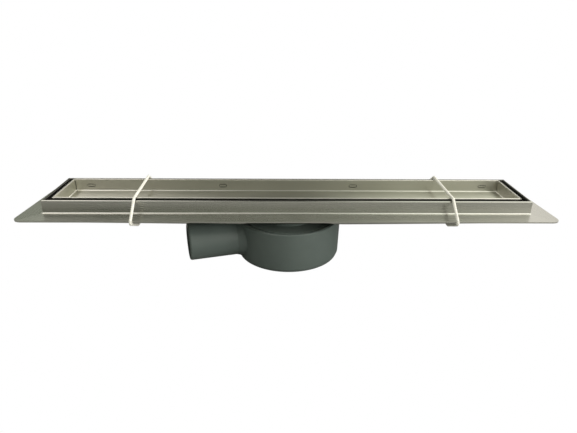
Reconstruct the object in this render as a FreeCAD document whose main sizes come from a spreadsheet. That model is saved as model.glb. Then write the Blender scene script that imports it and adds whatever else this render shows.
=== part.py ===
import FreeCAD, Part
import math
import os

import Sketcher

# A shower channel drain: a folded steel trough with a hemmed rim and a bonding flange, a tile tray
# lying in it, and a moulded water trap that turns on the trough's outlet neck.
# Frame: origin at the centre of the trap's base, +X along the trough, +Z up, millimetres.

Vector = FreeCAD.Vector
doc = FreeCAD.newDocument("channel_drain")

# ---------------------------------------------------------------- driving dimensions

SIZES = {
    # trough: folded sheet with a hemmed rim
    "sheet": 1.2, "rim_half_length": 250, "rim_half_width": 35, "rim_top": 72.5,
    "hem_gap": 0.2, "flange_drop": 13.7, "flange_reach": 20.5, "end_reach": 23, "flange_corner": 9,
    "end_taper": 7,
    "flange_bend": 1.8, "floor_bend": 2.1, "trough_under": 45.2, "floor_fall": 1.8,
    "level_half_length": 62,
    # outlet neck, its spring ring and its seal
    "neck_radius": 26, "neck_bore": 24, "neck_foot": 29, "neck_top": 46.4,
    "groove_radius": 25.2, "groove_low": 31.2, "groove_high": 32.6,
    "ring_radius": 27.8, "ring_low": 31.25, "ring_high": 32.55, "ring_gap": 9,
    "neck_seal_low": 37.1, "neck_seal_high": 38.9, "neck_lip_radius": 26.2, "neck_lip_low": 37.7,
    "neck_lip_high": 38.3,
    # tile tray and its legs
    "tray_half_length": 241, "tray_half_width": 28.8, "tray_top": 73.5, "tray_under": 58.8,
    "tray_bend": 1.6, "slot_length": 9, "slot_height": 3.8, "slot_level": 66.1,
    "slot_inner": 74, "slot_outer": 222.5,
    "leg_sheet": 2, "leg_width": 7.5, "leg_bend": 1.2, "leg_foot": 20,
    # trap body
    "centre": 0, "drum_top_radius": 57, "drum_foot_radius": 56, "drum_top": 44.6, "drum_floor": 2.5,
    "drum_bore": 52.2, "foot_flat": 51.5, "foot_step_radius": 54.7, "foot_step": 1.3, "foot_high": 4.5,
    "lip_radius": 56.3, "lip_low": 43.9,
    "spigot_radius": 20, "spigot_bore": 17.7, "spigot_axis": 24.5, "spigot_reach": 110.5,
    "spigot_start": 47, "bore_start": 43, "spigot_turn": 16, "spigot_lip": 2,
    "root_start": 51, "root_end": 60.5, "root_radius": 23.2,
    # trap cover
    "cover_radius": 53.7, "cover_under": 39.3, "cover_top": 42.3, "hub_bore": 26.1,
    "hub_radius": 30.5, "hub_low": 33, "hub_high": 44.9, "seal_groove": 28, "seal_low": 36.9,
    "seal_high": 39.1, "rib_inner": 47.5, "rib_outer": 49.3, "rib_top": 43.2,
    # lift-out insert and cup
    "insert_flange": 28.5, "insert_top": 48.4, "plug_radius": 23.8, "plug_low": 41.5,
    "insert_groove": 22.6, "insert_groove_low": 43.1, "insert_groove_high": 44.9,
    "insert_seal_low": 43.2, "insert_seal_high": 44.8, "insert_lip_low": 43.7, "insert_lip_high": 44.3,
    "funnel_radius": 21.6, "funnel_low": 42.6, "tube_radius": 16, "tube_bore": 14.2, "tube_top": 36.5,
    "tube_mouth": 37.6, "tube_foot": 8.5, "bar_width": 3.2, "bar_half_length": 22.2, "bar_low": 44.9,
    "cup_radius": 22, "cup_bore": 20.4, "cup_low": 3.2, "cup_floor": 5, "cup_top": 24,
    "rib_thickness": 1.6, "rib_bite": 0.5, "rib_low": 10, "rib_high": 20,
    # cord ties
    "cord_radius": 1.5, "cord_sides": 8, "cord_clear": 0.1,
    "tie_left_front": -156.3, "tie_left_back": -158.8,
    "tie_right_front": 167.4, "tie_right_back": 168.3,
}

sizes = doc.addObject("Spreadsheet::Sheet", "sizes")
for row, (alias, number) in enumerate(SIZES.items(), start=1):
    sizes.set(f"A{row}", alias)
    sizes.set(f"B{row}", str(number))
    sizes.setAlias(f"B{row}", alias)
doc.recompute()


def size(terms):
    """Value of a sum of aliases, such as "rim_top - flange_drop"."""
    total, sign = 0.0, 1
    for word in terms.split():
        if word in ("+", "-"):
            sign = 1 if word == "+" else -1
        else:
            total += sign * float(sizes.get(word))
    return total


def bound(terms):
    """The same sum as an expression that reads the sheet."""
    return " ".join(word if word in ("+", "-") else f"sizes.{word}" for word in terms.split())


# ---------------------------------------------------------------- building helpers

PIECES = []


def piece(feature, node):
    """Name a finished sub-part after its node."""
    feature.Label = node
    PIECES.append(feature)
    return feature


def new_body(name):
    return doc.addObject("PartDesign::Body", name)


def plane_sketch(body, name, role):
    """An empty sketch on one of the body's own origin planes."""
    sketch = body.newObject("Sketcher::SketchObject", name)
    plane = next(item for item in body.Origin.OriginFeatures if item.Role == role)
    sketch.AttachmentSupport = [(plane, "")]
    sketch.MapMode = "FlatFace"
    return sketch


def bound_polygon(sketch, corners):
    """A closed polygon whose corners are held at sums of the sheet's sizes."""
    points = [Vector(size(across), size(up), 0) for across, up in corners]
    count = len(points)
    for index in range(count):
        sketch.addGeometry(Part.LineSegment(points[index], points[(index + 1) % count]), False)
    for index in range(count):
        sketch.addConstraint(Sketcher.Constraint("Coincident", index, 2, (index + 1) % count, 1))
    for index, (across, up) in enumerate(corners):
        for kind, terms in (("DistanceX", across), ("DistanceY", up)):
            rule = Sketcher.Constraint(kind, -1, 1, index, 1, size(terms))
            number = sketch.addConstraint(rule)
            sketch.renameConstraint(number, f"{kind}_{index}")
            sketch.setExpression(f"Constraints.{kind}_{index}", bound(terms))


def add_loop(sketch, points):
    """A closed polygon through fixed points."""
    for index, point in enumerate(points):
        follower = points[(index + 1) % len(points)]
        sketch.addGeometry(Part.LineSegment(Vector(*point, 0), Vector(*follower, 0)), False)


def turned_body(name, corners):
    """A body turned about Z from (radius, height) corners."""
    body = new_body(name)
    sketch = plane_sketch(body, f"{name}_profile", "XZ_Plane")
    bound_polygon(sketch, corners)
    turn = body.newObject("PartDesign::Revolution", f"{name}_turn")
    turn.Profile = sketch
    turn.ReferenceAxis = (sketch, ["V_Axis"])
    turn.Angle = 360
    doc.recompute()
    return body


def round_edges(body, name, radius_alias, wanted):
    """Fillet the edges of the body's tip that the test picks."""
    base = body.Tip
    names = [f"Edge{number}" for number, edge in enumerate(base.Shape.Edges, start=1) if wanted(edge)]
    fillet = body.newObject("PartDesign::Fillet", name)
    fillet.Base = (base, names)
    fillet.setExpression("Radius", f"sizes.{radius_alias}")
    doc.recompute()


def cut_through(body, name, role, loops):
    """Pocket closed polygons right through the body, both ways."""
    sketch = plane_sketch(body, f"{name}_outline", role)
    for loop in loops:
        add_loop(sketch, loop)
    return pocket_through(body, name, sketch)


def pocket_through(body, name, sketch):
    before = body.Shape.Volume
    pocket = body.newObject("PartDesign::Pocket", name)
    pocket.Profile = sketch
    pocket.Type = "ThroughAll"
    pocket.SideType = "Symmetric"
    doc.recompute()
    if body.Shape.Volume > before - 0.01:
        raise RuntimeError(f"{name} cut nothing")
    return pocket


def sheet_outline(path, bends, thickness):
    """Edges round a folded sheet: its middle line with bends, given half the thickness each way."""
    points = [Vector(across, up, 0) for across, up in path]
    upright = Vector(0, 0, 1)
    sides = {1: [], -1: []}
    starts = {side: None for side in sides}
    for side in sides:
        reach = side * thickness / 2
        along = (points[1] - points[0]).normalize()
        here = points[0] + upright.cross(along) * reach
        starts[side] = here
        for corner, radius, follower in zip(points[1:-1], bends, points[2:]):
            onward = (follower - corner).normalize()
            turn = along.cross(onward).z
            half_angle = math.acos(max(-1.0, min(1.0, along.dot(onward)))) / 2
            hand = 1 if turn > 0 else -1
            back_off = radius * math.tan(half_angle)
            centre = corner - along * back_off + upright.cross(along) * hand * radius
            edge_radius = radius - hand * reach
            first = centre - upright.cross(along) * hand * edge_radius
            last = centre - upright.cross(onward) * hand * edge_radius
            middle = centre + (corner - centre).normalize() * edge_radius
            if (first - here).Length > 1e-6:
                sides[side].append(Part.LineSegment(here, first))
            sides[side].append(Part.Arc(first, middle, last))
            here, along = last, onward
        end = points[-1] + upright.cross(along) * reach
        sides[side].append(Part.LineSegment(here, end))
        starts[side, "end"] = end
    caps = [Part.LineSegment(starts[1], starts[-1]), Part.LineSegment(starts[1, "end"], starts[-1, "end"])]
    return sides[1] + sides[-1] + caps


def folded_pad(body, name, role, outline, width_terms):
    """Pad a folded sheet's section both ways from its plane."""
    sketch = plane_sketch(body, f"{name}_section", role)
    for curve in outline:
        sketch.addGeometry(curve, False)
    pad = body.newObject("PartDesign::Pad", name)
    pad.Profile = sketch
    pad.SideType = "Symmetric"
    pad.setExpression("Length", f"2 * ({bound(width_terms)})")
    doc.recompute()
    return pad


# ---------------------------------------------------------------- trough and its end caps

SHEET = size("sheet")
HEM_THICKNESS = 2 * SHEET + size("hem_gap")
HEM_BEND = (SHEET + size("hem_gap")) / 2
INNER_HALF_LENGTH = size("rim_half_length") - HEM_THICKNESS
INNER_HALF_WIDTH = size("rim_half_width") - HEM_THICKNESS
FLANGE_MIDDLE = size("rim_top - flange_drop") - SHEET / 2
HEM_CREST = size("rim_top") - SHEET / 2


def floor_top(x):
    """Height of the trough's floor: level round the outlet, then rising evenly to the ends."""
    run = max(0.0, abs(x) - size("level_half_length")) / (INNER_HALF_LENGTH - size("level_half_length"))
    return size("trough_under") + SHEET + run * size("floor_fall")


def wall_path(half, reach, floor):
    """Middle line of flange, outer wall, hem and inner wall, from the flange's edge inwards."""
    outer = half - SHEET / 2
    inner = half - HEM_THICKNESS + SHEET / 2
    return [(outer + SHEET / 2 + reach, FLANGE_MIDDLE), (outer, FLANGE_MIDDLE), (outer, HEM_CREST),
            (inner, HEM_CREST), (inner, floor)]


def trough_section(x):
    """The trough's hat section at one station."""
    half = wall_path(size("rim_half_width"), size("flange_reach"), floor_top(x) - SHEET / 2)
    path = [(-across, up) for across, up in half] + half[::-1]
    bends = [size("flange_bend"), HEM_BEND, HEM_BEND, size("floor_bend")]
    return sheet_outline(path, bends + bends[::-1], SHEET)


def rounded_outline(sketch, corners, radius):
    """A closed convex outline with every corner rounded alike."""
    count = len(corners)
    rounds = []
    for index, corner in enumerate(corners):
        before = (corners[index - 1] - corner).normalize()
        after = (corners[(index + 1) % count] - corner).normalize()
        inward = (before + after).normalize()
        half = before.getAngle(inward)
        rounds.append((corner + before * (radius / math.tan(half)),
                       corner + inward * (radius / math.sin(half) - radius),
                       corner + after * (radius / math.tan(half))))
    for index, (first, middle, last) in enumerate(rounds):
        sketch.addGeometry(Part.Arc(first, middle, last), False)
        sketch.addGeometry(Part.LineSegment(last, rounds[(index + 1) % count][0]), False)


def flange_outline(sketch):
    """Everything outside the flange: it is longer in front, and its corners are rounded."""
    front = size("rim_half_length + end_reach")
    back = front - size("end_taper")
    width = size("rim_half_width + flange_reach")
    far = front + width
    add_loop(sketch, [(-far, -far), (far, -far), (far, far), (-far, far)])
    rounded_outline(sketch, [Vector(-front, -width, 0), Vector(front, -width, 0),
                             Vector(back, width, 0), Vector(-back, width, 0)], size("flange_corner"))


def trim_flange(body, name):
    sketch = plane_sketch(body, f"{name}_outline", "XY_Plane")
    flange_outline(sketch)
    pocket_through(body, name, sketch)


def make_trough():
    body = new_body("trough")
    end = size("rim_half_length + end_reach")
    sections = []
    for number, x in enumerate((-end, -size("level_half_length"), size("level_half_length"), end)):
        sketch = plane_sketch(body, f"trough_section_{number}", "YZ_Plane")
        sketch.AttachmentOffset = FreeCAD.Placement(Vector(0, 0, x), FreeCAD.Rotation())
        for curve in trough_section(x):
            sketch.addGeometry(curve, False)
        sections.append(sketch)
    loft = body.newObject("PartDesign::AdditiveLoft", "trough_loft")
    loft.Profile = sections[0]
    loft.Sections = sections[1:]
    loft.Ruled = True
    doc.recompute()
    far = 100
    mitres = [[(hand * INNER_HALF_LENGTH, -INNER_HALF_WIDTH), (hand * INNER_HALF_LENGTH, INNER_HALF_WIDTH),
               (hand * (INNER_HALF_LENGTH + far), INNER_HALF_WIDTH + far),
               (hand * (INNER_HALF_LENGTH + far), -INNER_HALF_WIDTH - far)] for hand in (1, -1)]
    cut_through(body, "trough_mitres", "XY_Plane", mitres)
    trim_flange(body, "trough_trim")
    hole = plane_sketch(body, "outlet_hole_circle", "XY_Plane")
    hole.addGeometry(Part.Circle(Vector(), Vector(0, 0, 1), size("neck_radius")), False)
    hole.addConstraint(Sketcher.Constraint("Coincident", 0, 3, -1, 1))
    rule = hole.addConstraint(Sketcher.Constraint("Radius", 0, size("neck_radius")))
    hole.renameConstraint(rule, "hole")
    hole.setExpression("Constraints.hole", "sizes.neck_radius")
    pocket_through(body, "outlet_hole", hole)
    piece(body, "channel_trough")


def make_end_cap(node, hand):
    body = new_body(f"{node}_body")
    foot = floor_top(INNER_HALF_LENGTH) - SHEET
    path = [(hand * across, up)
            for across, up in wall_path(size("rim_half_length"), size("end_reach"), foot)]
    outline = sheet_outline(path, [size("flange_bend"), HEM_BEND, HEM_BEND], SHEET)
    folded_pad(body, f"{node}_fold", "XZ_Plane", outline, "rim_half_width + flange_reach")
    far = 100
    mitres = [[(hand * (INNER_HALF_LENGTH - 8), side * (INNER_HALF_WIDTH - 8)),
               (hand * (INNER_HALF_LENGTH + far), side * (INNER_HALF_WIDTH + far)),
               (hand * (INNER_HALF_LENGTH - 8), side * (INNER_HALF_WIDTH + far))] for side in (1, -1)]
    cut_through(body, f"{node}_mitres", "XY_Plane", mitres)
    trim_flange(body, f"{node}_trim")
    corner_round(body, f"{node}_corners", foot)
    piece(body, node)


def corner_round(body, name, foot):
    """Round the lower corners of an end cap's inner wall like the trough's floor bends."""
    radius = size("floor_bend") + SHEET / 2
    outer = INNER_HALF_WIDTH + SHEET
    slant = radius * (1 - math.sqrt(0.5))
    spare = SHEET
    sketch = plane_sketch(body, f"{name}_outline", "YZ_Plane")
    for hand in (1, -1):
        low = Vector(hand * (outer - radius), foot, 0)
        high = Vector(hand * outer, foot + radius, 0)
        rim = [low, Vector(hand * (outer - radius), foot - spare, 0),
               Vector(hand * (outer + spare), foot - spare, 0),
               Vector(hand * (outer + spare), foot + radius, 0), high]
        for first, last in zip(rim, rim[1:]):
            sketch.addGeometry(Part.LineSegment(first, last), False)
        sketch.addGeometry(Part.Arc(high, Vector(hand * (outer - slant), foot + slant, 0), low), False)
    pocket_through(body, name, sketch)


# ---------------------------------------------------------------- outlet neck, ring and seal

def make_neck():
    body = turned_body("neck", [
        ("neck_bore", "neck_foot"), ("neck_radius", "neck_foot"), ("neck_radius", "groove_low"),
        ("groove_radius", "groove_low"), ("groove_radius", "groove_high"),
        ("neck_radius", "groove_high"), ("neck_radius", "neck_top"), ("neck_bore", "neck_top")])
    piece(body, "outlet_neck")


def make_retaining_ring():
    """A spring ring, open by a gap so that it can be sprung into the neck's groove."""
    body = turned_body("ring", [
        ("groove_radius", "ring_low"), ("ring_radius", "ring_low"), ("ring_radius", "ring_high"),
        ("groove_radius", "ring_high")])
    body.Tip.setExpression("Angle", "360 - 180 / pi * sizes.ring_gap / sizes.ring_radius")
    doc.recompute()
    piece(body, "retaining_ring")


def make_lip_seal(node, place, base_radius, lip_radius):
    """A moulded ring of wedge section: its wide side sits in a groove, and its lip seals."""
    body = turned_body(f"{node}_ring", [
        (base_radius, f"{place}_seal_low"), (lip_radius, f"{place}_lip_low"),
        (lip_radius, f"{place}_lip_high"), (base_radius, f"{place}_seal_high")])
    piece(body, node)


# ---------------------------------------------------------------- tile tray and its legs

TRAY_FLOOR_MIDDLE = size("tray_under") + SHEET / 2
TRAY_FLAT_HALF_WIDTH = size("tray_half_width - tray_bend") - SHEET / 2
TRAY_FLAT_HALF_LENGTH = size("tray_half_length - tray_bend") - SHEET / 2


def slot_loop(sketch, x):
    """An oblong slot in a long wall, standing at one place along it."""
    radius = size("slot_height") / 2
    reach = size("slot_length") / 2 - radius
    level = size("slot_level")
    for hand in (1, -1):
        sketch.addGeometry(Part.LineSegment(Vector(x - reach, level + hand * radius, 0),
                                            Vector(x + reach, level + hand * radius, 0)), False)
        sketch.addGeometry(Part.Arc(Vector(x + hand * reach, level + radius, 0),
                                    Vector(x + hand * (reach + radius), level, 0),
                                    Vector(x + hand * reach, level - radius, 0)), False)


def make_tray():
    """Folded from one blank: floor, four walls, and a seam left open in each corner."""
    body = new_body("tray")
    side = size("tray_half_width") - SHEET / 2
    end = size("tray_half_length") - SHEET / 2
    top = size("tray_top")
    bend = size("tray_bend")
    long_path = [(-side, top), (-side, TRAY_FLOOR_MIDDLE), (side, TRAY_FLOOR_MIDDLE), (side, top)]
    folded_pad(body, "tray_long_walls", "YZ_Plane", sheet_outline(long_path, [bend, bend], SHEET),
               "tray_half_length")
    far = 10
    notches = [[(hand * TRAY_FLAT_HALF_LENGTH, -TRAY_FLAT_HALF_WIDTH),
                (hand * TRAY_FLAT_HALF_LENGTH, TRAY_FLAT_HALF_WIDTH),
                (hand * (end + far), TRAY_FLAT_HALF_WIDTH),
                (hand * (end + far), -TRAY_FLAT_HALF_WIDTH)] for hand in (1, -1)]
    cut_through(body, "tray_corner_notches", "XY_Plane", notches)
    for hand, name in ((-1, "left"), (1, "right")):
        end_path = [(hand * TRAY_FLAT_HALF_LENGTH, TRAY_FLOOR_MIDDLE), (hand * end, TRAY_FLOOR_MIDDLE),
                    (hand * end, top)]
        sketch = plane_sketch(body, f"tray_{name}_section", "XZ_Plane")
        for curve in sheet_outline(end_path, [bend - 1e-4], SHEET):
            sketch.addGeometry(curve, False)
        pad = body.newObject("PartDesign::Pad", f"tray_{name}_wall")
        pad.Profile = sketch
        pad.SideType = "Symmetric"
        pad.setExpression("Length", f"2 * ({bound('tray_half_width - tray_bend')}) - sizes.sheet")
        doc.recompute()
    slots = plane_sketch(body, "tray_slot_outlines", "XZ_Plane")
    for x in slot_places():
        slot_loop(slots, x)
    pocket_through(body, "tray_slots", slots)
    piece(body, "tile_tray")


def slot_places():
    inner, outer = size("slot_inner"), size("slot_outer")
    return [-outer, -inner, inner, outer]


def make_leg(node, x, hand):
    """A strip hooked through a slot, running down outside the wall to a foot on the floor."""
    body = new_body(f"{node}_body")
    half = size("leg_sheet") / 2
    foot = floor_top(abs(x) + size("leg_width") / 2) + half
    across = size("tray_half_width") + half
    path = [(hand * (size("tray_half_width") - SHEET), size("slot_level")),
            (hand * across, size("slot_level")), (hand * across, foot), (hand * size("leg_foot"), foot)]
    bend = size("leg_bend")
    pad = folded_pad(body, f"{node}_strip", "YZ_Plane",
                     sheet_outline(path, [bend, bend], size("leg_sheet")), "leg_width")
    pad.setExpression("Length", "sizes.leg_width")
    body.Placement = FreeCAD.Placement(Vector(x, 0, 0), FreeCAD.Rotation())
    doc.recompute()
    piece(body, node)


# ---------------------------------------------------------------- trap: drum, cover, insert, cup

def spigot_heading():
    """The way the spigot points: level, and turned off the trough's length."""
    turn = math.radians(size("spigot_turn"))
    return Vector(-math.cos(turn), -math.sin(turn), 0)


def spigot_round(body, kind, name, start_terms):
    """A round feature on the outlet's axis, standing at one distance from the drum's middle."""
    feature = body.newObject(f"PartDesign::{kind}", name)
    outward = spigot_heading()
    feature.Placement = FreeCAD.Placement(outward * size(start_terms)
                                          + Vector(0, 0, size("spigot_axis")),
                                          FreeCAD.Rotation(Vector(0, 0, 1), outward))
    return feature


def spigot_cylinder(body, kind, name, radius_alias, start_terms):
    """A cylinder on the outlet's axis, as far as the spigot's mouth."""
    cylinder = spigot_round(body, kind, name, start_terms)
    cylinder.setExpression("Radius", f"sizes.{radius_alias}")
    cylinder.setExpression("Height", f"sizes.spigot_reach - ({bound(start_terms)})")
    doc.recompute()


def make_trap_body():
    """Drum and outlet spigot moulded in one: the spigot flares at its root and is level with the top."""
    body = turned_body("drum", [
        ("centre", "centre"), ("foot_flat", "centre"), ("foot_step_radius", "foot_step"),
        ("drum_foot_radius", "foot_high"), ("drum_top_radius", "lip_low"), ("lip_radius", "drum_top"),
        ("centre", "drum_top")])
    spigot_cylinder(body, "AdditiveCylinder", "spigot", "spigot_radius", "spigot_start")
    root = spigot_round(body, "AdditiveCone", "spigot_root", "root_start")
    root.setExpression("Radius1", "sizes.root_radius")
    root.setExpression("Radius2", "sizes.spigot_radius")
    root.setExpression("Height", bound("root_end - root_start"))
    doc.recompute()
    for name, radius_alias, low, high in (("level_top", "spigot_reach", "drum_top", "rim_top"),
                                          ("cover_seat", "cover_radius", "cover_under", "drum_top"),
                                          ("drum_well", "drum_bore", "drum_floor", "cover_under")):
        well = body.newObject("PartDesign::SubtractiveCylinder", name)
        well.setExpression("Radius", f"sizes.{radius_alias}")
        well.setExpression("Height", bound(f"{high} - {low}"))
        well.Placement = FreeCAD.Placement(Vector(0, 0, size(low)), FreeCAD.Rotation())
        doc.recompute()
    spigot_cylinder(body, "SubtractiveCylinder", "spigot_bore", "spigot_bore", "bore_start")
    outward = spigot_heading()
    mouth = outward * size("spigot_reach")

    def mouth_edge(edge):
        curve = edge.Curve
        return (isinstance(curve, Part.Circle) and abs(curve.Radius - size("spigot_radius")) < 0.01
                and abs(curve.Center.x - mouth.x) < 0.01 and abs(curve.Center.y - mouth.y) < 0.01)

    round_edges(body, "spigot_mouth_edge", "spigot_lip", mouth_edge)
    piece(body, "trap_body")


def make_trap_cover():
    body = turned_body("cover", [
        ("hub_bore", "hub_low"), ("hub_radius", "hub_low"), ("hub_radius", "cover_under"),
        ("cover_radius", "cover_under"), ("cover_radius", "cover_top"), ("rib_outer", "cover_top"),
        ("rib_outer", "rib_top"), ("rib_inner", "rib_top"), ("rib_inner", "cover_top"),
        ("hub_radius", "cover_top"), ("hub_radius", "hub_high"), ("hub_bore", "hub_high"),
        ("hub_bore", "seal_high"), ("seal_groove", "seal_high"), ("seal_groove", "seal_low"),
        ("hub_bore", "seal_low")])
    piece(body, "trap_cover")


def make_insert():
    body = turned_body("insert", [
        ("funnel_radius", "insert_top"), ("funnel_radius", "funnel_low"), ("tube_bore", "tube_mouth"),
        ("tube_bore", "tube_foot"), ("tube_radius", "tube_foot"), ("tube_radius", "tube_top"),
        ("plug_radius", "plug_low"), ("plug_radius", "insert_groove_low"),
        ("insert_groove", "insert_groove_low"), ("insert_groove", "insert_groove_high"),
        ("plug_radius", "insert_groove_high"), ("plug_radius", "neck_top"),
        ("insert_flange", "neck_top"), ("insert_flange", "insert_top")])
    bar = body.newObject("PartDesign::AdditiveBox", "finger_bar")
    bar.setExpression("Length", "sizes.bar_width")
    bar.setExpression("Width", "2 * sizes.bar_half_length")
    bar.setExpression("Height", bound("insert_top - bar_low"))
    bar.Placement = FreeCAD.Placement(Vector(-size("bar_width") / 2, -size("bar_half_length"),
                                             size("bar_low")), FreeCAD.Rotation())
    doc.recompute()
    piece(body, "trap_insert")


def make_cup():
    body = turned_body("cup", [
        ("centre", "cup_low"), ("cup_radius", "cup_low"), ("cup_radius", "cup_top"),
        ("cup_bore", "cup_top"), ("cup_bore", "cup_floor"), ("centre", "cup_floor")])
    rib = body.newObject("PartDesign::AdditiveBox", "cup_rib")
    rib.setExpression("Length", bound("cup_bore - tube_radius + rib_bite"))
    rib.setExpression("Width", "sizes.rib_thickness")
    rib.setExpression("Height", bound("rib_high - rib_low"))
    rib.Placement = FreeCAD.Placement(Vector(size("tube_radius"), -size("rib_thickness") / 2,
                                             size("rib_low")), FreeCAD.Rotation())
    doc.recompute()
    ribs = body.newObject("PartDesign::PolarPattern", "cup_ribs")
    ribs.Originals = [rib]
    axis = next(item for item in body.Origin.OriginFeatures if item.Role == "Z_Axis")
    ribs.Axis = (axis, [""])
    ribs.Angle = 360
    ribs.Occurrences = 3
    body.Tip = ribs
    doc.recompute()
    piece(body, "insert_cup")


# ---------------------------------------------------------------- cord ties

def belt(circles):
    """A taut line round circles of a convex outline, given in turn anticlockwise."""
    count = len(circles)
    normals = []
    for index, (across, up, radius) in enumerate(circles):
        follower = circles[(index + 1) % count]
        step = (follower[0] - across, follower[1] - up)
        distance = math.hypot(*step)
        angle = math.atan2(step[1], step[0]) - math.acos((radius - follower[2]) / distance)
        normals.append((math.cos(angle), math.sin(angle)))
    runs = []
    for index, (across, up, radius) in enumerate(circles):
        arrive, leave = normals[index - 1], normals[index]
        middle = (arrive[0] + leave[0], arrive[1] + leave[1])
        scale = radius / math.hypot(*middle)
        runs.append([(across + radius * arrive[0], up + radius * arrive[1]),
                     (across + middle[0] * scale, up + middle[1] * scale),
                     (across + radius * leave[0], up + radius * leave[1])])
    return runs


def make_tie(node, x_front, x_back):
    """An eight-sided cord pulled tight about rim, flange edges and trough floor, in one upright plane."""
    reach = size("cord_radius + cord_clear")
    rim_round = SHEET + size("hem_gap") / 2
    edge_round = SHEET * math.sqrt(0.5)
    floor_round = size("floor_bend") + SHEET / 2
    proud = size("tray_top - rim_top")
    rim = (size("rim_half_width") - rim_round, size("rim_top") - rim_round + proud, rim_round + reach)
    flange = (size("rim_half_width + flange_reach") - SHEET / 2, FLANGE_MIDDLE, edge_round + reach)
    floor_under = floor_top((x_front + x_back) / 2) - SHEET
    floor = (INNER_HALF_WIDTH + SHEET - floor_round, floor_under + floor_round, floor_round + reach)
    right_side = [floor, flange, rim]
    circles = right_side + [(-across, up, radius) for across, up, radius in reversed(right_side)]
    lean = (x_back - x_front) / (2 * size("rim_half_width"))
    along = Vector(lean, 1, 0).normalize()
    origin = Vector((x_front + x_back) / 2, 0, 0)

    def place(point):
        return origin + along * point[0] + Vector(0, 0, point[1])

    runs = belt(circles)
    edges = []
    for index, (first, middle, last) in enumerate(runs):
        edges.append(Part.Arc(place(first), place(middle), place(last)).toShape())
        edges.append(Part.LineSegment(place(last), place(runs[(index + 1) % len(runs)][0])).toShape())
    path = Part.Wire(edges)
    start = place(runs[0][0])
    heading = edges[0].tangentAt(edges[0].FirstParameter)
    sides = int(size("cord_sides"))
    turn = 2 * math.pi / sides
    aside = along.cross(Vector(0, 0, 1)).normalize()
    upright = heading.cross(aside)
    corners = [start + (aside * math.cos((step + 0.5) * turn) + upright * math.sin((step + 0.5) * turn))
               * size("cord_radius") for step in range(sides + 1)]
    solid = path.makePipeShell([Part.makePolygon(corners)], True, False)
    ideal = sides / 2 * math.sin(turn) * size("cord_radius") ** 2 * path.Length
    if abs(solid.Volume / ideal - 1) > 0.01:
        raise RuntimeError(f"{node} isn't a whole cord")
    tie = doc.addObject("Part::Feature", f"{node}_loop")
    tie.Shape = solid
    piece(tie, node)


# ---------------------------------------------------------------- the whole drain

make_trough()
make_end_cap("end_cap_left", -1)
make_end_cap("end_cap_right", 1)
make_neck()
make_retaining_ring()
make_tray()
for number, place_along in enumerate(slot_places(), start=1):
    make_leg(f"tray_leg_front_{number}", place_along, -1)
    make_leg(f"tray_leg_back_{number}", place_along, 1)
make_trap_body()
make_trap_cover()
make_lip_seal("neck_seal", "neck", "seal_groove", "neck_lip_radius")
make_insert()
make_lip_seal("insert_seal", "insert", "insert_groove", "neck_bore")
make_cup()
make_tie("tie_cord_left", size("tie_left_front"), size("tie_left_back"))
make_tie("tie_cord_right", size("tie_right_front"), size("tie_right_back"))
doc.recompute()

# ---------------------------------------------------------------- check and write

for item in doc.Objects:
    if "Invalid" in item.State or "Error" in item.State:
        raise RuntimeError(f"{item.Name} failed: {item.State}")
for feature in PIECES:
    shape = feature.Shape
    if shape.isNull() or not shape.isValid() or not shape.Solids:
        raise RuntimeError(f"{feature.Label} has no valid solid")
    print(feature.Label, len(shape.Solids), round(shape.Volume))

os.makedirs("parts", exist_ok=True)
for feature in PIECES:
    feature.Shape.exportStep(f"parts/{feature.Label}.step")
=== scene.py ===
import math

import bpy
import numpy as np
from mathutils import Matrix, Vector


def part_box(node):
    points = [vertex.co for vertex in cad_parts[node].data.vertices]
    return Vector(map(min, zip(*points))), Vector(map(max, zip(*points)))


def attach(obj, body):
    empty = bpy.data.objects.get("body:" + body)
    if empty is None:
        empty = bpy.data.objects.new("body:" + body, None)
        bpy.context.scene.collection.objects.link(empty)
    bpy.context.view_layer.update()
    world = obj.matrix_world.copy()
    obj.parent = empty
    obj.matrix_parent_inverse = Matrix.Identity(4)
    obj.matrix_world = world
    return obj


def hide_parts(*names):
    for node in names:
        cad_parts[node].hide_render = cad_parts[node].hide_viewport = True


# A shower channel drain: a brushed steel trough with a loose tile tray in it, tied down with two
# cords, above a grey plastic trap that turns under it.

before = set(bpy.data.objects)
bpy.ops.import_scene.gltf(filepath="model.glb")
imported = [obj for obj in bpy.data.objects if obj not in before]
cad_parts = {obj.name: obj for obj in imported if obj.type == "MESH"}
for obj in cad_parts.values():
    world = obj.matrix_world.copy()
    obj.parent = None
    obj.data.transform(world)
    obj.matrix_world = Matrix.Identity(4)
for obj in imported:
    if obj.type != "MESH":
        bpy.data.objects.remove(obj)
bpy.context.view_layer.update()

# ---------------------------------------------------------------- sizes and colours

MM = 0.001
RIM_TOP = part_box("channel_trough")[1].z
TRAY_LOW, TRAY_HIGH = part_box("tile_tray")
RIM_HALF_WIDTH = 35 * MM
RIM_HALF_LENGTH = 250 * MM
FLANGE_REACH = 20.5 * MM
FLANGE_TOP = RIM_TOP - 13.7 * MM
SHEET = 1.2 * MM
HEM_GAP = 0.2 * MM
# outer radius of the fold on top of the rim
HEM_ROUND = SHEET + HEM_GAP / 2
# how far in from a face the finish of that face reaches
SKIN = 0.1 * MM

# Painted shade: a near-black colour for faces that lie in shade in the narrow gaps and on the back hem.
PAINTED_SHADE = (0.11, 0.11, 0.10)
# Painted highlight: a near-white colour on the bends, standing in for the light they catch.
PAINTED_BEND_HIGHLIGHT = (0.97, 0.96, 0.92)
# Painted highlight: the pale colour along the top edges of the tray's walls, standing in for the light
# they catch.
PAINTED_EDGE_HIGHLIGHT = (1.0, 0.98, 0.93)

# noise cells to the metre, along and across the brushing of the steel
ALONG_GRAIN = 6
ACROSS_GRAIN = 900

# the range that most of a noise's values lie in
MOST_NOISE = (0.3, 0.7)

# the colour sockets of a Mix node
MIX_FIRST, MIX_SECOND, MIX_RESULT = 6, 7, 2


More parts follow.
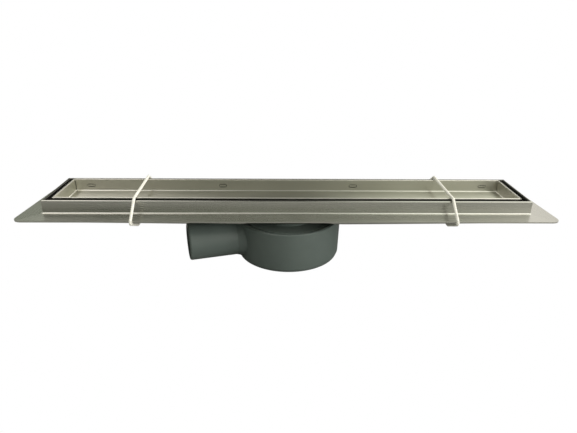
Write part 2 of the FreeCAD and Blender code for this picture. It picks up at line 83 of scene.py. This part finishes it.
def new_object(name, data):
    """An object at the scene's origin."""
    thing = bpy.data.objects.new(name, data)
    bpy.context.scene.collection.objects.link(thing)
    return thing


# ---------------------------------------------------------------- camera

def place_camera():
    """A camera at the height and slant from which the drain is looked at, lying slightly rolled."""
    tilt, turn, roll = (math.radians(angle) for angle in (23.78, 1.16, 0.59))
    ahead = Vector((math.sin(turn) * math.cos(tilt), math.cos(turn) * math.cos(tilt), -math.sin(tilt)))
    level = Vector((math.cos(turn), -math.sin(turn), 0))
    upright = level.cross(ahead)
    right = math.cos(roll) * level + math.sin(roll) * upright
    up = math.cos(roll) * upright - math.sin(roll) * level
    place = Vector((-9.5 * MM, -484.9 * MM, RIM_TOP + 181.4 * MM))
    camera = new_object("camera", bpy.data.cameras.new("camera"))
    camera.matrix_world = Matrix.Translation(place) @ Matrix((right, up, -ahead)).transposed().to_4x4()
    camera.data.sensor_width = 36
    camera.data.lens = 29.82
    camera.data.clip_start = 0.01
    bpy.context.scene.camera = camera


# ---------------------------------------------------------------- node helpers

class Recipe:
    """A material's node tree with short ways to add and join its nodes."""

    def __init__(self, name):
        self.material = bpy.data.materials.new(name)
        self.material.use_nodes = True
        self.nodes = self.material.node_tree.nodes
        self.links = self.material.node_tree.links
        self.shader = self.nodes["Principled BSDF"]
        self.place = self.nodes.new("ShaderNodeTexCoord").outputs["Object"]

    def join(self, source, target):
        self.links.new(source, target)

    def noise(self, cells, detail, roughness):
        """Noise with so many cells to the metre along X, Y and Z."""
        stretch = self.nodes.new("ShaderNodeMapping")
        stretch.inputs["Scale"].default_value = cells
        self.join(self.place, stretch.inputs["Vector"])
        node = self.nodes.new("ShaderNodeTexNoise")
        node.inputs["Scale"].default_value = 1.0
        node.inputs["Detail"].default_value = detail
        node.inputs["Roughness"].default_value = roughness
        self.join(stretch.outputs["Vector"], node.inputs["Vector"])
        return node.outputs["Fac"]

    def spread(self, value, low, high, out_low=0.0, out_high=1.0):
        """Map a value's range onto another, held at the ends."""
        node = self.nodes.new("ShaderNodeMapRange")
        for name, number in (("From Min", low), ("From Max", high), ("To Min", out_low),
                             ("To Max", out_high)):
            node.inputs[name].default_value = number
        self.join(value, node.inputs["Value"])
        return node.outputs["Result"]

    def work_out(self, operation, first, second=0.0):
        """One step of arithmetic on sockets or plain numbers."""
        node = self.nodes.new("ShaderNodeMath")
        node.operation = operation
        for socket, value in zip(node.inputs, (first, second)):
            if isinstance(value, (int, float)):
                socket.default_value = value
            else:
                self.join(value, socket)
        return node.outputs["Value"]

    def plus(self, first, second):
        return self.work_out("ADD", first, second)

    def times(self, first, second):
        return self.work_out("MULTIPLY", first, second)

    def either(self, first, second):
        return self.work_out("MAXIMUM", first, second)

    def blend_colours(self, amount, first, second):
        """The first colour at 0 and the second at 1, each a socket or a plain colour."""
        node = self.nodes.new("ShaderNodeMix")
        node.data_type = "RGBA"
        self.join(amount, node.inputs["Factor"])
        for socket, colour in ((node.inputs[MIX_FIRST], first), (node.inputs[MIX_SECOND], second)):
            if isinstance(colour, tuple):
                socket.default_value = (*colour, 1)
            else:
                self.join(colour, socket)
        return node.outputs[MIX_RESULT]

    def axis(self, name):
        """The place along one axis."""
        node = self.nodes.new("ShaderNodeSeparateXYZ")
        self.join(self.place, node.inputs[0])
        return node.outputs[name]

    def distance(self, name):
        """How far from the middle along one axis."""
        return self.work_out("ABSOLUTE", self.axis(name))

    def band(self, low, high):
        """1 between two heights and 0 outside them."""
        height = self.axis("Z")
        return self.times(self.work_out("GREATER_THAN", height, low),
                          self.work_out("LESS_THAN", height, high))

    def tint(self, where, colour, rougher):
        """Another colour, and this much more roughness, where the mask is 1."""
        self.colour = self.blend_colours(where, self.colour, colour)
        self.rough = self.plus(self.rough, self.times(where, rougher))

    def dress(self):
        """Give the shader the colour and roughness that have been worked out so far."""
        self.join(self.colour, self.shader.inputs["Base Color"])
        self.join(self.rough, self.shader.inputs["Roughness"])

    def bump(self, height, strength, depth):
        """Unevenness from a height of 0 to 1, which stands for this depth."""
        node = self.nodes.new("ShaderNodeBump")
        node.inputs["Strength"].default_value = strength
        node.inputs["Distance"].default_value = depth
        self.join(height, node.inputs["Height"])
        self.join(node.outputs["Normal"], self.shader.inputs["Normal"])


# ---------------------------------------------------------------- steel

def brushed_steel(name, colour, dull_colour, roughness, grain, ends_beyond=1.0):
    """Stainless sheet brushed along its length: hair-fine streaks and soft blotches from handling.
    The brushing spreads light across the grain. The grain runs along the drain, and from ends_beyond
    outwards, in the end walls, across it. Gives the recipe, so that more tints can follow."""
    recipe = Recipe(name)
    shader = recipe.shader
    shader.inputs["Metallic"].default_value = 1.0
    shader.inputs["Anisotropic"].default_value = grain
    shader.inputs["Anisotropic Rotation"].default_value = 0.25
    at_ends = recipe.work_out("GREATER_THAN", recipe.distance("X"), ends_beyond)
    between = recipe.work_out("SUBTRACT", 1.0, at_ends)
    direction = recipe.nodes.new("ShaderNodeCombineXYZ")
    recipe.join(between, direction.inputs["X"])
    recipe.join(at_ends, direction.inputs["Y"])
    recipe.join(direction.outputs[0], shader.inputs["Tangent"])

    lengthwise = recipe.noise((ALONG_GRAIN, ACROSS_GRAIN, ACROSS_GRAIN), 4.0, 0.6)
    crosswise = recipe.noise((ACROSS_GRAIN, ALONG_GRAIN, ACROSS_GRAIN), 4.0, 0.6)
    streaks = recipe.plus(recipe.times(between, lengthwise), recipe.times(at_ends, crosswise))
    blotches = recipe.noise((7, 16, 16), 3.0, 0.55)
    waves = recipe.noise((7, 7, 7), 1.0, 0.4)

    tone = recipe.plus(recipe.spread(streaks, *MOST_NOISE, -0.2, 0.2),
                       recipe.spread(blotches, 0.35, 0.65, 0.15, 0.85))
    recipe.colour = recipe.blend_colours(tone, dull_colour, colour)
    recipe.rough = recipe.plus(recipe.spread(streaks, *MOST_NOISE, -0.04, 0.04),
                               recipe.spread(blotches, *MOST_NOISE, roughness - 0.03, roughness + 0.04))
    height = recipe.plus(recipe.times(streaks, 0.002), recipe.times(waves, 0.6))
    recipe.bump(height, strength=1.0, depth=0.6 * MM)
    recipe.dress()
    return recipe


def trough_steel_with_painted_light(name, across, inner_fold, ends_beyond):
    """The rim's inner fold and the whole hem at the back get painted shade, and the bend between wall and
    flange gets a painted highlight. The inner fold lies nearer the middle than inner_fold along the axis
    across."""
    recipe = brushed_steel(name, colour=(0.53, 0.53, 0.495), dull_colour=(0.50, 0.50, 0.465),
                           roughness=0.27, grain=0.4, ends_beyond=ends_beyond)
    back_edge, hem_foot, bend_top = RIM_HALF_WIDTH - 5 * MM, RIM_TOP - 1.9 * MM, FLANGE_TOP + 1.0 * MM
    inside = recipe.spread(recipe.distance(across), inner_fold, inner_fold + SKIN, 1, 0)
    behind = recipe.spread(recipe.axis("Y"), back_edge, back_edge + 1.0 * MM)
    hem = recipe.spread(recipe.axis("Z"), hem_foot, hem_foot + 0.4 * MM)
    # Painted shade on the rim's inner fold and on the back hem, where the gap and the back lie in shade.
    recipe.tint(recipe.times(recipe.either(inside, behind), hem), PAINTED_SHADE, 0.0)
    # Painted highlight along the bend between wall and flange.
    recipe.tint(recipe.band(FLANGE_TOP + SKIN, bend_top), PAINTED_BEND_HIGHLIGHT, 0.08)
    recipe.dress()
    return recipe.material


def tray_steel_with_painted_light():
    """The top edges of the walls get a painted highlight, their outer faces painted shade, and the bend
    round the floor a painted highlight."""
    recipe = brushed_steel("tray_steel", colour=(0.63, 0.62, 0.555), dull_colour=(0.555, 0.55, 0.49),
                           roughness=0.34, grain=0.92, ends_beyond=TRAY_HIGH.x - SHEET - SKIN)
    outer = recipe.either(
        recipe.spread(recipe.distance("Y"), TRAY_HIGH.y - 2 * SKIN, TRAY_HIGH.y - SKIN),
        recipe.spread(recipe.distance("X"), TRAY_HIGH.x - 2 * SKIN, TRAY_HIGH.x - SKIN))
    floor_top = TRAY_LOW.z + SHEET
    edge_highlight_foot = TRAY_HIGH.z - 0.9 * MM
    # Painted shade on the tray's outer faces, which face the dark gap to the trough.
    recipe.tint(outer, PAINTED_SHADE, 0.0)
    # Painted highlight along the bend round the tray's floor.
    recipe.tint(recipe.band(floor_top + 0.03 * MM, floor_top + 0.9 * MM), PAINTED_BEND_HIGHLIGHT, 0.0)
    # Painted highlight along the top edges of the tray's walls.
    recipe.tint(recipe.spread(recipe.axis("Z"), edge_highlight_foot, edge_highlight_foot + 0.2 * MM), PAINTED_EDGE_HIGHLIGHT, 0.2)
    recipe.dress()
    return recipe.material


# ---------------------------------------------------------------- plastic, rubber and cord

def moulded_plastic(name, colour, pale_colour, roughness):
    """Smooth moulded plastic with a faint cloudy tone, and a little rougher where it is paler."""
    recipe = Recipe(name)
    clouds = recipe.noise((22, 22, 22), 4.0, 0.6)
    recipe.colour = recipe.blend_colours(recipe.spread(clouds, *MOST_NOISE), colour, pale_colour)
    recipe.rough = recipe.spread(clouds, *MOST_NOISE, roughness - 0.05, roughness + 0.06)
    recipe.bump(recipe.noise((900, 900, 900), 2.0, 0.5), strength=0.4, depth=0.05 * MM)
    recipe.dress()
    return recipe.material


def plain_rubber(name):
    """Black rubber with a fine speckle."""
    recipe = Recipe(name)
    speckle = recipe.noise((600, 600, 600), 2.0, 0.5)
    tone = recipe.blend_colours(speckle, (0.015, 0.015, 0.016), (0.035, 0.035, 0.037))
    recipe.join(tone, recipe.shader.inputs["Base Color"])
    recipe.shader.inputs["Roughness"].default_value = 0.6
    return recipe.material


def cord_fibre(name):
    """White cord with fine fibres of uneven tone."""
    recipe = Recipe(name)
    fibres = recipe.noise((1500, 1500, 1500), 3.0, 0.6)
    tone = recipe.blend_colours(recipe.spread(fibres, *MOST_NOISE), (0.80, 0.79, 0.73), (0.95, 0.94, 0.89))
    recipe.join(tone, recipe.shader.inputs["Base Color"])
    recipe.shader.inputs["Roughness"].default_value = 0.75
    recipe.shader.inputs["Sheen Weight"].default_value = 0.2
    recipe.bump(fibres, strength=0.5, depth=0.1 * MM)
    return recipe.material


def finish_cad_nodes():
    """One finish for each CAD node, apart from the two plain ties, which the twisted cords replace."""
    trough_steel = trough_steel_with_painted_light("trough_steel", "Y", RIM_HALF_WIDTH - HEM_ROUND, 1.0)
    cap_steel = trough_steel_with_painted_light("cap_steel", "X", RIM_HALF_LENGTH - HEM_ROUND, 0.0)
    tray_steel = tray_steel_with_painted_light()
    trap_plastic = moulded_plastic("trap_plastic", (0.082, 0.104, 0.098), (0.100, 0.126, 0.118), 0.38)
    # The cover's plastic is paler than the trap body's. This is painted light that lifts the shade under
    # the flange.
    cover_plastic_painted_paler = moulded_plastic("cover_plastic_painted_paler", (0.125, 0.155, 0.145), (0.15, 0.185, 0.172), 0.45)
    insert_plastic = moulded_plastic("insert_plastic", (0.62, 0.63, 0.63), (0.7, 0.71, 0.71), 0.4)
    rubber = plain_rubber("seal_rubber")
    spring_steel = brushed_steel("spring_steel", colour=(0.42, 0.42, 0.42), dull_colour=(0.36, 0.36, 0.36),
                                 roughness=0.3, grain=0.0).material
    finishes = (("channel_trough", trough_steel), ("outlet_neck", trough_steel), ("end_cap", cap_steel),
                ("tile_tray", tray_steel), ("tray_leg", tray_steel), ("trap_body", trap_plastic),
                ("trap_cover", cover_plastic_painted_paler), ("trap_insert", insert_plastic),
                ("insert_cup", insert_plastic), ("insert_seal", rubber), ("neck_seal", rubber),
                ("retaining_ring", spring_steel))
    for node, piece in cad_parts.items():
        for start, material in finishes:
            if node.startswith(start):
                piece.data.materials.clear()
                piece.data.materials.append(material)


# ---------------------------------------------------------------- cord ties

def belt(circles, steps):
    """Points along a taut line round circles given anticlockwise in a plane: each straight run leaves
    one circle and meets the next along their common outer tangent, whose normal turns from the line of
    centres by the arccos of the difference of the radii over the distance of the centres."""
    centres = np.array([(across, up) for across, up, _ in circles])
    radii = np.array([radius for _, _, radius in circles])
    step = np.roll(centres, -1, axis=0) - centres
    distance = np.hypot(step[:, 0], step[:, 1])
    leaving = np.arctan2(step[:, 1], step[:, 0]) - np.arccos((radii - np.roll(radii, -1)) / distance)
    arriving = np.roll(leaving, 1)
    swing = np.mod(leaving - arriving, 2 * math.pi)
    angles = (arriving[:, None] + swing[:, None] * np.linspace(0, 1, steps)).ravel()
    normals = np.stack([np.cos(angles), np.sin(angles)], axis=1)
    return np.repeat(centres, steps, axis=0) + normals * np.repeat(radii, steps)[:, None]


def evenly(points, spacing):
    """A closed line's points set out again at one spacing, and the line's length."""
    closed = np.vstack([points, points[:1]])
    lengths = np.hypot(*np.diff(closed, axis=0).T)
    along = np.concatenate([[0], np.cumsum(lengths)])
    count = int(round(along[-1] / spacing))
    stations = np.arange(count) * along[-1] / count
    return np.stack([np.interp(stations, along, closed[:, axis]) for axis in range(2)], axis=1), along[-1]


def tie_route(radius, underside):
    """The middle line of a cord pulled tight round the tray's edges and the rim's hems, the flange's
    edges and the bends of the floor, as points across and up, and its length."""
    clear = 0.1 * MM
    floor_round = 2.7 * MM
    floor_half = RIM_HALF_WIDTH - SHEET - HEM_GAP
    edge_round = SHEET * math.sqrt(0.5)
    rim_middle = TRAY_HIGH.z - HEM_ROUND
    rim = (RIM_HALF_WIDTH - HEM_ROUND, rim_middle, HEM_ROUND + radius + clear)
    flange = (RIM_HALF_WIDTH + FLANGE_REACH - SHEET / 2, FLANGE_TOP - SHEET / 2,
              edge_round + radius + clear)
    floor = (floor_half - floor_round, underside + 2 * radius + clear + floor_round,
             floor_round + radius + clear)
    right = [floor, flange, rim]
    left = [(-across, up, size) for across, up, size in reversed(right)]
    return evenly(belt(right + left, 9), 0.35 * MM)


def twisted_cord(name, node, x_front, x_back):
    """A cord of twisted strands round the trough: its radius at angle a and length s is the cord's
    radius times one less a groove that follows the absolute sine of half the number of strands times
    (a less the twist at s)."""
    radius, strands, around = 1.5 * MM, 3, 30
    lay = 7.5 * MM
    groove, sharpness = 0.2, 0.7
    line, length = tie_route(radius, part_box(node)[0].z)
    lean = Vector(((x_back - x_front) / (2 * RIM_HALF_WIDTH), 1, 0)).normalized()
    upright = np.array([0, 0, 1.0])
    centre = np.array([(x_front + x_back) / 2, 0, 0])
    spine = centre + line[:, :1] * np.array(lean) + line[:, 1:] * upright
    ahead = np.roll(spine, -1, axis=0) - np.roll(spine, 1, axis=0)
    ahead /= np.linalg.norm(ahead, axis=1)[:, None]
    aside = np.cross(np.array(lean), upright)
    outward = np.cross(ahead, aside)
    angle = np.arange(around) * 2 * math.pi / around
    twist = np.arange(len(spine)) * 2 * math.pi * round(length / lay) / len(spine)
    ridge = np.abs(np.sin(strands / 2 * (angle[None, :] - twist[:, None]))) ** sharpness
    reach = radius * (1 - groove * (1 - ridge))
    rings = (spine[:, None, :] + reach[..., None] * (np.cos(angle)[None, :, None] * outward[:, None, :]
             + np.sin(angle)[None, :, None] * aside[None, None, :]))
    return ring_piece(name, rings)


def ring_piece(name, rings):
    """A smooth mesh through rings of points, where the last ring joins the first."""
    rows, columns = rings.shape[:2]
    index = np.pad(np.arange(rows * columns).reshape(rows, columns), ((0, 1), (0, 1)), mode="wrap")
    faces = np.stack([index[:-1, :-1], index[1:, :-1], index[1:, 1:], index[:-1, 1:]], axis=-1)
    mesh = bpy.data.meshes.new(name)
    mesh.from_pydata(rings.reshape(-1, 3).tolist(), [], faces.reshape(-1, 4).tolist())
    mesh.shade_smooth()
    return new_object(name, mesh)


def tie_down():
    """The two cords that bind the loose tray to the trough."""
    fibre = cord_fibre("tie_cord")
    for name, node, x_front, x_back in (("cord_left", "tie_cord_left", -156.3 * MM, -158.8 * MM),
                                        ("cord_right", "tie_cord_right", 167.4 * MM, 168.3 * MM)):
        cord = twisted_cord(name, node, x_front, x_back)
        cord.data.materials.append(fibre)
        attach(cord, "channel")
        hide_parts(node)


# ---------------------------------------------------------------- floor

def white_to_camera(name, colour):
    """A floor that looks white where it is seen, and lights and mirrors as its own pale colour."""
    recipe = Recipe(name)
    recipe.shader.inputs["Base Color"].default_value = (*colour, 1)
    recipe.shader.inputs["Roughness"].default_value = 0.9
    recipe.shader.inputs["Specular IOR Level"].default_value = 0.0
    seen = recipe.nodes.new("ShaderNodeLightPath").outputs["Is Camera Ray"]
    glow = recipe.nodes.new("ShaderNodeEmission")
    mix = recipe.nodes.new("ShaderNodeMixShader")
    recipe.join(seen, mix.inputs[0])
    recipe.join(recipe.shader.outputs[0], mix.inputs[1])
    recipe.join(glow.outputs[0], mix.inputs[2])
    recipe.join(mix.outputs[0], recipe.nodes["Material Output"].inputs["Surface"])
    return recipe.material


def lay_floor():
    """A wide floor just below the foot of the trap."""
    half, low = 4.0, -0.3 * MM
    mesh = bpy.data.meshes.new("floor")
    mesh.from_pydata([(-half, -half, low), (half, -half, low), (half, half, low), (-half, half, low)], [],
                     [(0, 1, 2, 3)])
    mesh.materials.append(white_to_camera("floor_white", (0.35, 0.35, 0.345)))
    new_object("floor", mesh)


# ---------------------------------------------------------------- light

# The room's light by direction. Each stop is a sideways part of the direction, from -1 to 1, a level
# and how warm the light is, from 0 to 1.
FRONT = ((-1.0, 0.45, 0), (-0.55, 0.14, 0), (-0.4, 0.11, 0), (-0.25, 0.24, 0.1), (-0.1, 0.54, 0.3),
         (0.05, 0.50, 0.5), (0.2, 0.60, 0.5), (0.35, 0.86, 0.6), (0.5, 1.05, 1), (1.0, 3.2, 1))
BACK = ((-1.0, 0.3, 0), (-0.4, 0.34, 0), (0.0, 0.2, 0.5), (0.4, 1.12, 1), (1.0, 0.4, 1))
OVERHEAD = ((-1.0, 1.3, 1), (-0.55, 1.5, 1), (-0.35, 1.65, 1), (-0.2, 0.6, 0.8), (-0.05, 0.08, 0.5),
            (0.1, 0.12, 0.5), (0.25, 1.2, 0.3), (0.4, 1.6, 0.5), (0.6, 1.6, 1), (1.0, 1.3, 1))


def level_ramp(room, sideways, stops):
    """Light that goes straight from stop to stop. The outermost stops take the ramp's own two ends."""
    ramp = room.nodes.new("ShaderNodeValToRGB")
    elements = ramp.color_ramp.elements
    ends = {0: 0, 1: -1}
    for place, level, warmth in stops:
        position = (place + 1) / 2
        element = elements[ends[position]] if position in ends else elements.new(position)
        element.color = (level * (0.93 + 0.11 * warmth), level, level * (0.82 + 0.11 * warmth), 1)
    room.links.new(sideways, ramp.inputs["Fac"])
    return ramp.outputs["Color"]


def ease(room, value, low, high):
    """A smooth step from 0 at the low value to 1 at the high one."""
    node = room.nodes.new("ShaderNodeMapRange")
    node.interpolation_type = "SMOOTHSTEP"
    node.inputs["From Min"].default_value = low
    node.inputs["From Max"].default_value = high
    room.links.new(value, node.inputs["Value"])
    return node.outputs["Result"]


def cross_fade(room, amount, first, second):
    """The first light at 0 and the second at 1."""
    node = room.nodes.new("ShaderNodeMix")
    node.data_type = "RGBA"
    room.links.new(amount, node.inputs["Factor"])
    room.links.new(first, node.inputs[MIX_FIRST])
    room.links.new(second, node.inputs[MIX_SECOND])
    return node.outputs[MIX_RESULT]


def light_room():
    """A room that is dim low down at the front left and bright at the front right, with two pale
    panels overhead on either side of a dark middle, and white to the camera."""
    world = bpy.data.worlds.new("room")
    bpy.context.scene.world = world
    world.use_nodes = True
    room = world.node_tree
    room.nodes.clear()
    parts = room.nodes.new("ShaderNodeSeparateXYZ")
    room.links.new(room.nodes.new("ShaderNodeTexCoord").outputs["Generated"], parts.inputs[0])
    spread = room.nodes.new("ShaderNodeMapRange")
    spread.inputs["From Min"].default_value = -1
    room.links.new(parts.outputs["X"], spread.inputs["Value"])
    front, back, overhead = (level_ramp(room, spread.outputs["Result"], stops)
                             for stops in (FRONT, BACK, OVERHEAD))
    low = cross_fade(room, ease(room, parts.outputs["Y"], -0.15, 0.15), front, back)
    light = cross_fade(room, ease(room, parts.outputs["Z"], 0.5, 0.7), low, overhead)
    dim = room.nodes.new("ShaderNodeBackground")
    room.links.new(light, dim.inputs["Color"])
    white = room.nodes.new("ShaderNodeBackground")
    white.inputs["Color"].default_value = (1, 1, 1, 1)
    mix = room.nodes.new("ShaderNodeMixShader")
    room.links.new(room.nodes.new("ShaderNodeLightPath").outputs["Is Camera Ray"], mix.inputs[0])
    room.links.new(dim.outputs[0], mix.inputs[1])
    room.links.new(white.outputs[0], mix.inputs[2])
    room.links.new(mix.outputs[0], room.nodes.new("ShaderNodeOutputWorld").inputs["Surface"])


def hang_lamp(name, place, target, width, height, power, colour):
    """An oblong lamp aimed at a point, which lights the pieces but isn't mirrored in them."""
    lamp = bpy.data.lights.new(name, "AREA")
    lamp.shape = "RECTANGLE"
    lamp.size, lamp.size_y = width, height
    lamp.energy = power
    lamp.color = colour
    holder = new_object(name, lamp)
    holder.visible_glossy = False
    holder.location = place
    holder.rotation_euler = (Vector(target) - Vector(place)).to_track_quat("-Z", "Y").to_euler()


place_camera()
finish_cad_nodes()
tie_down()
lay_floor()
light_room()
hang_lamp("right_panel", place=(0.9, -0.55, 0.28), target=(0.03, -0.02, 0.02), width=0.4, height=0.25,
          power=4, colour=(1.0, 0.97, 0.92))

bpy.context.scene.view_settings.view_transform = "Standard"
